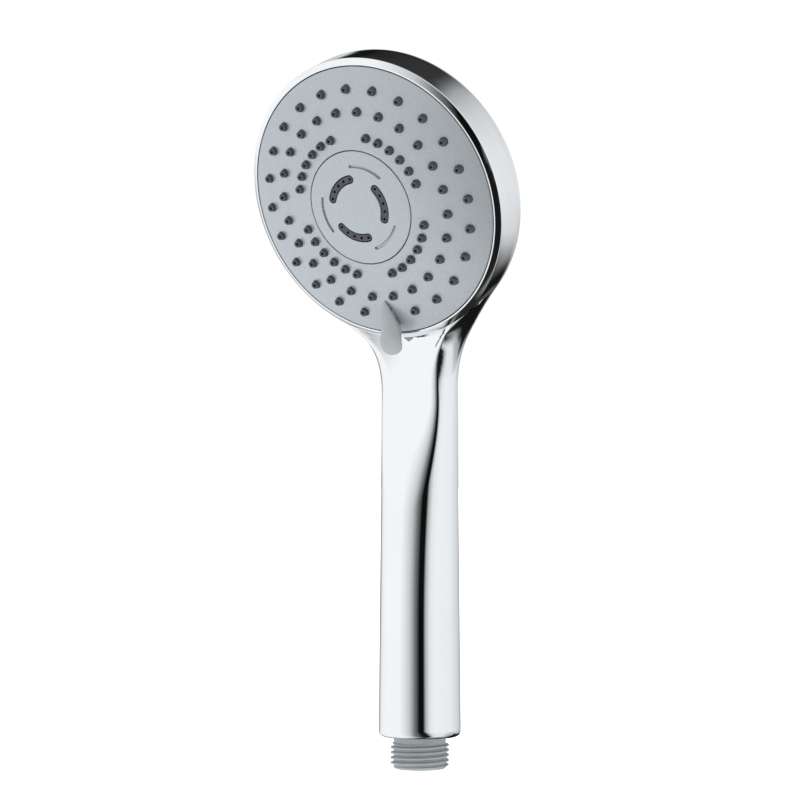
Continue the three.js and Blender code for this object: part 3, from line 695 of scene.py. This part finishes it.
def bezel():
    """Chromed ring round the face: a narrow flat lip, then a wide chamfer."""
    inner = FACE_RADIUS + 0.3
    skirt = HEAD_RADIUS - SHELL_WALL + 0.5
    seam = RIM_FRONT + 0.01
    profile = rounded([
        (inner, -11.6, 0),
        (skirt, -11.6, 0),
        (skirt, seam, 0),
        (HEAD_RADIUS, seam, 0),
        (HEAD_RADIUS, -4.4, 0.6),
        (49.15, -2.88, 0.3),
        (inner, -2.88, 0.2),
    ])
    piece = mesh_piece("bezel", *turned_ring(profile))
    smooth(piece, 25)
    place(piece, "body", "chrome", "bezel_ring")


# ---------------------------------------------------------------- spray face


def dome_line(start, end, below, steps):
    """Profile points between two radii, at a depth below the spray face's front."""
    return [(r, float(dome(r)) - below) for r in np.linspace(start, end, steps + 1)]


def dome_field(points):
    """Distance from the spray face's front, inside its edge."""
    local = to_head(points)
    radius = np.hypot(local[:, 0], local[:, 1])
    reach = np.hypot(radius, local[:, 2] - DOME_FRONT + DOME_RADIUS) - DOME_RADIUS
    return np.where(radius < FACE_RADIUS - 0.2, reach, 9)


FACE_SURFACE = [(dome_field, lambda points: slope(dome_field, points))]


def nozzle_places():
    """Two even rings, and an inner ring in four groups of six."""
    count = 24
    places = []
    for i in range(count):
        step = 360 / count * i
        if i > 0:  # the lever takes the first place
            places.append((OUTER_RING, DOWN + step))
        places.append((MIDDLE_RING, DOWN + step + 180 / count))
    for group in (45, 135, 225, 315):
        places += [(INNER_RING, DOWN + group + 360 / 32 * (i - 2.5)) for i in range(6)]
    return places


def at_nozzles(profile):
    """The same turned bar at each nozzle, with heights from the face's front."""
    shapes = []
    for ring, degrees in nozzle_places():
        front = float(dome(ring))
        lifted = [(radius, front + height) for radius, height in profile]
        shapes.append(turned(lifted, SMALL, *polar(ring, degrees)))
    return gathered(shapes)


def face_plate():
    """Domed plate with a hole for each nozzle, for the centre disc and for the lever's stem."""
    hole = DISC_RADIUS + 0.3
    rim = FACE_RADIUS - 1.4
    front = dome_line(FACE_RADIUS - 0.25, hole + 0.12, 0, 40)
    edge = [(FACE_RADIUS, front[0][1] - 0.3), (FACE_RADIUS - 0.06, front[0][1] - 0.12)]
    inside = [(hole, front[-1][1] - 0.14)]
    under = dome_line(hole, rim, FACE_WALL, 20)
    profile = [(rim, -9), (FACE_RADIUS, -9), *edge, *front, *inside, *under]
    piece = mesh_piece("face_plate_front", *turned_ring(profile))
    cut(piece, at_nozzles([
        (NOZZLE_RADIUS + NOZZLE_CLEARANCE, -5), (NOZZLE_RADIUS + NOZZLE_CLEARANCE, 2),
    ]))
    cut(piece, slot_box(3.6, 4.6, -9, 12))
    smooth(piece, 30, FACE_SURFACE)
    place(piece, "selector", "grey_plate", "face_plate")


def slot_box(width, depth, low, high):
    """A box through the face at the lever's stem."""
    half = np.array([[-1, -1], [1, -1], [1, 1], [-1, 1]]) * (width / 2, depth / 2)
    rows = [np.column_stack([half + (0, -OUTER_RING), [height] * 4]) for height in (low, high)]
    return stacked(rows)


def nozzles():
    """Silicone mat with 71 tapered nozzles that stand through the face plate."""
    inner = 22.9
    outer = 45.6
    under = dome_line(inner, outer, MAT_DEPTH + MAT_WALL, 12)
    over = dome_line(outer, inner, MAT_DEPTH, 12)
    piece = mesh_piece("nozzles", *turned_ring([*under, *over], MEDIUM))
    tip = NOZZLE_STANDS
    join(piece, at_nozzles([
        (NOZZLE_RADIUS, -2.7),
        (NOZZLE_RADIUS, 0.15),
        (NOZZLE_RADIUS - 0.03, 0.35),
        (NOZZLE_TIP_RADIUS, tip - 0.12),
        (NOZZLE_TIP_RADIUS - 0.04, tip - 0.03),
        (NOZZLE_TIP_RADIUS - 0.12, tip),
    ]))
    cut(piece, at_nozzles([
        (NOZZLE_BORE, -5), (NOZZLE_BORE, tip - 0.12), (NOZZLE_BORE + 0.2, tip + 0.1),
    ]))
    smooth(piece, 40)
    place(piece, "selector", "dark_rubber", "nozzle_mat")


def centre_disc():
    """Middle of the face, with three massage slots and three shallow grooves between them."""
    skirt = DISC_RADIUS - 1.8
    front = dome_line(DISC_RADIUS - 0.15, 0.5, 0, 24)
    profile = [
        (skirt, 3.3), (skirt, -1), (DISC_RADIUS, -1), (DISC_RADIUS, front[0][1] - 0.16), *front,
    ]
    piece = mesh_piece("face_centre", *turned(profile))
    slot_front = float(dome(JET_RING))
    half = ARC_SLOT_HALF_WIDTH
    slots = [
        arc_bar(JET_RING, degrees, ARC_SPREAD, [
            (half, 2), (half, slot_front - 0.1), (half + 0.12, slot_front + 0.02), (half + 0.12, 9),
        ])
        for degrees in ARC_ANGLES
    ]
    groove_front = float(dome(GROOVE_RING))
    grooves = [
        arc_bar(GROOVE_RING, degrees + 60, GROOVE_SPREAD, [
            (0.4, groove_front - 0.8),
            (0.55, groove_front - 0.65),
            (0.55, groove_front - 0.05),
            (0.62, groove_front + 0.03),
            (0.62, groove_front + 1),
        ])
        for degrees in ARC_ANGLES
    ]
    cut(piece, gathered(slots + grooves))
    smooth(piece, 30, FACE_SURFACE)
    place(piece, "selector", "grey_plate", "centre_disc")


def massage_pad():
    """Silicone pad with three raised arcs of five jets."""
    front = float(dome(JET_RING)) - 0.12
    piece = mesh_piece("massage_jets", *turned([(18.4, 1.5), (18.4, 3)], MEDIUM))
    arcs = [
        arc_bar(JET_RING, degrees, ARC_SPREAD, [
            (ARC_HALF_WIDTH, 2),
            (ARC_HALF_WIDTH, front - 0.35),
            (ARC_HALF_WIDTH - 0.08, front - 0.15),
            (ARC_HALF_WIDTH - 0.22, front - 0.03),
            (ARC_HALF_WIDTH - 0.4, front),
        ])
        for degrees in ARC_ANGLES
    ]
    jets = [
        turned([(JET_BORE, 0), (JET_BORE, 8)], SMALL, *polar(JET_RING, degrees + ARC_SPREAD / 4 * step))
        for degrees in ARC_ANGLES
        for step in (-2, -1, 0, 1, 2)
    ]
    join(piece, gathered(arcs))
    cut(piece, gathered(jets))
    smooth(piece, 35)
    place(piece, "selector", "dark_rubber", "massage_pad")


def lever():
    """Thumb lever: its inner end lies on the face, and its outer end is a raised paddle."""
    across = np.cos(np.linspace(0, math.pi, 41))
    hump = (1 - np.sqrt(across**2 + 0.015) ** 1.9 * 0.97) ** 0.62
    hump[[0, -1]] = 0
    keel = (1 - across[1:-1] ** 2) ** 0.35
    rows = []
    for share in (1 - np.cos(np.linspace(0.02, math.pi - 0.02, 60))) / 2:
        out = LEVER_TIP + (LEVER_END - LEVER_TIP) * share
        width = LEVER_HALF_WIDTH * 1.28 * share**0.7 * math.sqrt(1 - share**8)
        lifted = float(np.clip((out - 44.5) / 6, 0, 1))
        lifted = lifted**2 * (3 - 2 * lifted)
        rest = float(dome(min(out, FACE_RADIUS))) + 0.25
        low = rest + (LEVER_UNDERSIDE - rest) * lifted
        climb = math.sin(min(share / 0.82, 1) * math.pi / 2) ** 1.2
        crest = LEVER_INNER_TOP + (LEVER_TOP - LEVER_INNER_TOP) * climb
        middle = low + 0.55 * (crest - low)
        full = math.sqrt(1 - share**12)
        top = middle + (crest - middle) * full
        low = middle - (middle - low) * full
        upper = middle + (top - middle) * hump
        lower = middle - (middle - low) * keel
        rows.append(np.concatenate([
            np.stack([width * across, 0 * across - out, upper], 1),
            np.stack([width * across[::-1][1:-1], 0 * keel - out, lower], 1),
        ]))
    piece = mesh_piece("thumb_lever", *stacked(rows[::-1]))
    join(piece, slot_box(3, 4, float(dome(OUTER_RING)) - 1, 3))
    smooth(piece, 40)
    place(piece, "selector", "grey_plastic", "selector_lever")


# ---------------------------------------------------------------- inlet


def thread_radius(angles, height):
    """A rounded ridge that climbs one pitch a turn and fades at both ends."""
    phase = height / THREAD_PITCH - angles / (2 * math.pi)
    wave = 1 - np.abs(2 * (phase - np.floor(phase)) - 1)
    ridge = np.clip(wave * 1.7 - 0.35, 0, 1)
    ridge = ridge * ridge * (3 - 2 * ridge)
    fade_in = np.clip((height - 0.4) / 0.9, 0, 1)
    fade_out = np.clip((THREAD_LENGTH - height) / 0.9, 0, 1)
    return THREAD_ROOT_RADIUS + (THREAD_RADIUS - THREAD_ROOT_RADIUS) * ridge * fade_in * fade_out


def inlet():
    """Threaded stub that the hose screws onto, with the flange and tube socket above it."""
    slices = 144
    angles = np.arange(slices) * 2 * math.pi / slices
    rows = [circle(THREAD_ROOT_RADIUS - 0.5, 0, slices), circle(THREAD_ROOT_RADIUS - 0.15, 0.1, slices)]
    for height in np.linspace(0.35, THREAD_LENGTH, 92):
        radius = thread_radius(angles, height)
        level = np.full(slices, height)
        rows.append(np.stack([radius * np.cos(angles), radius * np.sin(angles), level], 1))
    rows += [
        circle(radius, height, slices)
        for radius, height in (
            (THREAD_ROOT_RADIUS, 12),
            (CONNECTOR_FLANGE - 0.2, 12),
            (CONNECTOR_FLANGE, 12.2),
            (CONNECTOR_FLANGE, 15.4),
            (CONNECTOR_FLANGE - 0.2, 15.6),
            (CONNECTOR_SOCKET - 0.1, 15.6),
            (CONNECTOR_SOCKET - 0.1, CONNECTOR_TOP - 0.3),
            (CONNECTOR_SOCKET - 0.4, CONNECTOR_TOP),
        )
    ]
    piece = mesh_piece("inlet_thread", *stacked(rows), in_head=False)
    bore = upright([(CONNECTOR_BORE + 0.4, -1), (CONNECTOR_BORE + 0.4, 0), (CONNECTOR_BORE, 0.4),
                    (CONNECTOR_BORE, 11), (3.6, 11), (3.6, 17), (6, 17), (6, 29)])
    cut(piece, bore, in_head=False)
    smooth(piece, 35)
    place(piece, "body", "grey_plastic", "inlet_connector")


# ---------------------------------------------------------------- index mark


def index_mark():
    """Small triangle in the hollow that the lever points at, standing a trace proud."""
    half = MARK_HALF_WIDTH
    waist = (MARK_BASE + MARK_TIP) / 2
    outline = [(x, MARK_BASE) for x in np.linspace(-half, half, 9)]
    outline += [(half / 2, waist), (0, MARK_TIP), (-half / 2, waist)]
    flat = np.array([(x, 0, height) for x, height in outline])
    depths = scoop_field(flat)
    rows = [
        flat + np.stack([0 * depths, depths - lift, 0 * depths], 1)
        for lift in (-MARK_ROOT, MARK_LIFT)
    ]
    piece = mesh_piece("index_mark", *stacked(rows), in_head=False)
    smooth(piece, 30)
    place(piece, "body", "grey_plastic")


# ---------------------------------------------------------------- carried-over pieces

CARRIED = {
    "white_plastic": (
        "inlet_strainer", "flow_restrictor", "water_tube", "valve_base", "detent_plunger",
        "spray_chamber", "distributor_disc", "turbine",
    ),
    "seal_rubber": (
        "tube_seal_lower", "tube_seal_upper", "post_seal", "port_seal", "chamber_gasket",
    ),
    "steel": (
        "screw_washer", "centre_screw", "port_spring", "detent_spring",
        "base_screw_1", "base_screw_2", "base_screw_3",
    ),
    "brass": ("post_insert",),
}


def finish_carried():
    """Gives the inner CAD pieces their materials."""
    for slot, nodes in CARRIED.items():
        for node in nodes:
            mesh = frame["nodes"][node].data
            mesh.materials.clear()
            mesh.materials.append(MATERIALS[slot])


# ---------------------------------------------------------------- studio


def calculate(tree, operation, *values):
    """A maths node of numbers and sockets."""
    node = tree.nodes.new("ShaderNodeMath")
    node.operation = operation
    for i, value in enumerate(values):
        if isinstance(value, (int, float)):
            node.inputs[i].default_value = value
        else:
            tree.links.new(value, node.inputs[i])
    return node.outputs[0]


def along(tree, vector, direction):
    """How far a vector socket goes along a direction."""
    node = tree.nodes.new("ShaderNodeVectorMath")
    node.operation = "DOT_PRODUCT"
    tree.links.new(vector, node.inputs[0])
    node.inputs[1].default_value = direction
    return node.outputs["Value"]


def front_lights(shift, wide, gap):
    """Steps of the front softboxes; the numbers turn, widen and brighten the gap between them."""
    end = shift + wide + 10
    return (
        (-60, 1.01), (-45, 0.84), (-30, 0.62), (-15, max(0.2, gap)), (shift - 3, gap),
        (end, gap), (end + 6, max(0.48, gap)), (end + 18, 0.86),
    )


# Brightness of the studio by direction: bands of elevation, each with its steps of azimuth and
# brightness. Zero azimuth is towards the camera and positive is to its right, in degrees. Most
# bands have steps at the left, the front softboxes with a dark gap, then steps at the right.
STUDIO = (
    (-85, ((-180, 0.02), (180, 0.02))),
    (-62, (
        (-180, 0.1), (-157, 0.36), (-125, 0.8), (-60, 0.95), (-20, 0.7), (12, 0.08),
        (26, 0.01), (38, 0.02), (46, 0.4), (60, 0.68), (85, 0.3), (105, 0.03), (180, 0.03),
    )),
    (-50, (
        (-180, 0.1), (-157, 0.4), (-125, 0.85), *front_lights(17, 12, 0.01), (74, 0.85), (90, 0.62),
        (110, 0.42), (130, 0.28), (140, 0.03), (180, 0.01),
    )),
    (-39, (
        (-180, 0.06), (-156, 0.42), (-138, 0.95), *front_lights(13, 9, 0.01), (74, 0.85), (90, 0.5),
        (104, 0.38), (112, 0.05), (120, 0.01), (180, 0.01),
    )),
    (-30, (
        (-180, 0.05), (-156, 0.5), (-138, 1), *front_lights(10, 7, 0.01), (74, 0.85), (90, 0.5),
        (110, 0.4), (118, 0.15), (123, 0.01), (180, 0.005),
    )),
    (-20, (
        (-180, 0.04), (-156, 0.7), (-138, 1), *front_lights(7, 4, 0.01), (74, 0.88), (90, 0.62),
        (110, 0.48), (118, 0.12), (123, 0.01), (180, 0.005),
    )),
    (-14, (
        (-180, 0.04), (-156, 0.8), (-138, 1), *front_lights(4, 3, 0.01), (74, 0.9), (92, 0.68),
        (132, 0.56), (142, 0.36), (148, 0.08), (152, 0.01), (180, 0.005),
    )),
    (-11, (
        (-180, 0.03), (-168, 0.2), (-156, 0.7), (-138, 1), *front_lights(2, 2, 0.005), (45, 0.95),
        (94, 0.88), (126, 0.74), (142, 0.58), (152, 0.45), (160, 0.3), (167, 0.01), (180, 0.01),
    )),
    (-3, (
        (-180, 0.02), (-168, 0.05), (-156, 0.38), (-145, 0.82), (-130, 0.95), (-110, 1.02),
        *front_lights(0, 0, 0.005), (45, 0.95), (94, 0.92), (118, 0.8), (142, 0.68), (154, 0.55),
        (162, 0.35), (170, 0.15), (180, 0.03),
    )),
    (4, (
        (-180, 0.3), (-156, 0.6), (-140, 1), *front_lights(0, 0, 0.005), (45, 0.95), (94, 0.92),
        (118, 0.82), (160, 0.82), (170, 0.7), (180, 0.3),
    )),
    (19, (
        (-180, 0.5), (-172, 0.85), (-142, 1.04), *front_lights(0, 0, 0.005), (45, 0.95), (90, 0.92),
        (118, 0.8), (150, 0.76), (164, 0.8), (172, 0.5), (180, 0.4),
    )),
    (25, (
        (-180, 0.005), (-170, 0.02), (-160, 0.4), (-150, 0.95), *front_lights(0, 0, 0.01), (45, 0.95),
        (90, 0.9), (118, 0.78), (142, 0.68), (152, 0.56), (160, 0.46), (168, 0.3), (175, 0.06),
        (180, 0.005),
    )),
    (33, (
        (-180, 0.005), (-168, 0.01), (-155, 0.5), (-145, 1), *front_lights(0, 0, 0.12), (45, 0.95),
        (105, 0.76), (134, 0.67), (144, 0.58), (152, 0.38), (158, 0.12), (166, 0.04), (180, 0.01),
    )),
    (40, (
        (-180, 0.02), (-160, 0.04), (-148, 0.5), (-138, 1), *front_lights(0, 0, 0.5), (45, 0.95),
        (105, 0.72), (126, 0.62), (138, 0.5), (146, 0.3), (151, 0.05), (158, 0.02), (180, 0.02),
    )),
    (51, (
        (-180, 0.03), (-155, 0.06), (-135, 0.9), *front_lights(0, 0, 0.72), (45, 0.95), (90, 0.78),
        (105, 0.56), (126, 0.38), (136, 0.16), (143, 0.04), (180, 0.03),
    )),
    (58, (
        (-180, 0.03), (-150, 0.1), (-130, 0.9), (-30, 1), (0, 0.75), (60, 0.85), (90, 0.7),
        (110, 0.3), (128, 0.04), (180, 0.03),
    )),
    (88, ((-180, 0.6), (180, 0.6))),
)


def studio_band(tree, turn, steps):
    """Brightness round the horizon as a colour ramp, with turn from 0 to 1 for a full circle."""
    node = tree.nodes.new("ShaderNodeValToRGB")
    elements = node.color_ramp.elements
    while len(elements) < len(steps):
        elements.new(0.5)
    for element, (azimuth, brightness) in zip(elements, steps):
        element.position = (azimuth + 180) / 360
        element.color = (brightness, brightness, brightness, 1)
    tree.links.new(turn, node.inputs["Fac"])
    return node.outputs["Color"]


def studio_world():
    """White all round for the camera, and the softboxes for everything that they light."""
    world = bpy.data.worlds.new("studio")
    bpy.context.scene.world = world
    world.use_nodes = True
    tree = world.node_tree
    tree.nodes.clear()
    direction = tree.nodes.new("ShaderNodeTexCoord").outputs["Generated"]
    towards = (math.sin(CAMERA_AZIMUTH), -math.cos(CAMERA_AZIMUTH), 0)
    right = (math.cos(CAMERA_AZIMUTH), math.sin(CAMERA_AZIMUTH), 0)
    azimuth = calculate(
        tree, "ARCTAN2", along(tree, direction, right), along(tree, direction, towards)
    )
    turn = calculate(tree, "MULTIPLY_ADD", azimuth, 0.5 / math.pi, 0.5)
    elevation = calculate(tree, "ARCSINE", along(tree, direction, (0, 0, 1)))
    light = studio_band(tree, turn, STUDIO[0][1])
    for (low, _), (high, steps) in zip(STUDIO, STUDIO[1:]):
        share = tree.nodes.new("ShaderNodeMapRange")
        share.inputs["From Min"].default_value = math.radians(low)
        share.inputs["From Max"].default_value = math.radians(high)
        tree.links.new(elevation, share.inputs["Value"])
        mix = tree.nodes.new("ShaderNodeMix")
        mix.data_type = "RGBA"
        tree.links.new(share.outputs["Result"], mix.inputs["Factor"])
        tree.links.new(light, mix.inputs["A"])
        tree.links.new(studio_band(tree, turn, steps), mix.inputs["B"])
        light = mix.outputs["Result"]
    studio = tree.nodes.new("ShaderNodeBackground")
    tree.links.new(light, studio.inputs["Color"])
    backdrop = tree.nodes.new("ShaderNodeBackground")
    backdrop.inputs["Color"].default_value = (1, 1, 1, 1)
    choice = tree.nodes.new("ShaderNodeMixShader")
    tree.links.new(tree.nodes.new("ShaderNodeLightPath").outputs["Is Camera Ray"], choice.inputs["Fac"])
    tree.links.new(studio.outputs["Background"], choice.inputs[1])
    tree.links.new(backdrop.outputs["Background"], choice.inputs[2])
    output = tree.nodes.new("ShaderNodeOutputWorld")
    tree.links.new(choice.outputs["Shader"], output.inputs["Surface"])


def studio_floor():
    """A plain white sweep just under the inlet; the plating reflects the softboxes instead."""
    half = 3000
    corners = [(-half, -half, -0.3), (half, -half, -0.3), (half, half, -0.3), (-half, half, -0.3)]
    floor = mesh_piece("studio_floor", corners, [(0, 1, 2, 3)], in_head=False)
    material, _, shader = new_material("studio_white", (0.9, 0.9, 0.9), 0, 0.8)
    shader.inputs["Emission Color"].default_value = (1, 1, 1, 1)
    shader.inputs["Emission Strength"].default_value = 0.9
    floor.data.materials.append(material)
    floor.visible_glossy = False


def studio_camera():
    """A level camera, turned to the right of the head's front."""
    data = bpy.data.cameras.new("photo_camera")
    data.lens = CAMERA_LENS
    data.sensor_width = 36
    data.clip_end = 20
    camera = bpy.data.objects.new("photo_camera", data)
    camera.location = Vector(CAMERA_PLACE) * MM
    camera.rotation_euler = (math.pi / 2, 0, CAMERA_AZIMUTH)
    bpy.context.scene.collection.objects.link(camera)
    bpy.context.scene.camera = camera


# ---------------------------------------------------------------- the whole model

studio_camera()
studio_world()
studio_floor()

casing()
bezel()
face_plate()
nozzles()
centre_disc()
massage_pad()
lever()
inlet()
index_mark()
finish_carried()

bpy.context.scene.view_settings.view_transform = "Standard"
